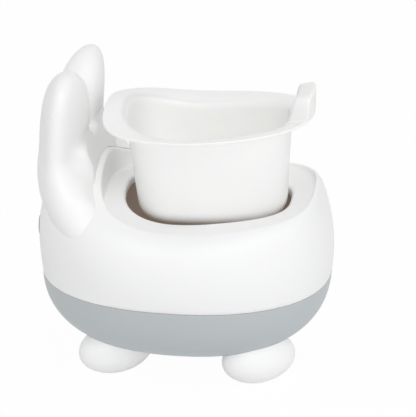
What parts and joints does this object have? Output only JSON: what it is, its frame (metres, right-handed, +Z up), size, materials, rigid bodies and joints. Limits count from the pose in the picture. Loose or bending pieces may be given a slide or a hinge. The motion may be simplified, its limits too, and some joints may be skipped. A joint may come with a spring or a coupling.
{
  "type": "potty training chair",
  "caption": "Egg-shaped toddler potty seat with a backrest in the shape of animal ears, a lift-out bowl with a splash guard, and ball feet.",
  "frame": {"origin": "on the floor, in the middle of the body", "axes": "+Z up, -Y to the front where the child's legs go, +X to the child's left"},
  "size_m": [0.298, 0.3422, 0.3505],
  "materials": {
    "white_shell": "satin",
    "grey_shell": "satin",
    "white_bowl": "satin",
    "dark_oval": "gloss",
    "rubber_pad": "matt",
    "steel_screw": "satin"
  },
  "bodies": {
    "seat": {"upper_shell": "white_shell", "base_shell": "grey_shell", "ear_backrest": "white_shell", "foot_front_left": "white_shell", "foot_front_right": "white_shell", "foot_rear_left": "white_shell", "foot_rear_right": "white_shell", "pad_front_left": "rubber_pad", "pad_front_right": "rubber_pad", "pad_rear_left": "rubber_pad", "pad_rear_right": "rubber_pad", "eye_left": "dark_oval", "eye_right": "dark_oval", "nose": "dark_oval", "shell_screws": "steel_screw", "foot_screws": "steel_screw", "backrest_screws": "steel_screw"},
    "bowl": {"bowl": "white_bowl"}
  },
  "joints": [
    {"name": "bowl_lift", "type": "slide", "parent": "seat", "child": "bowl", "axis": [0, 0, 1], "range_m": [-0.097, 0.06]}
  ]
}
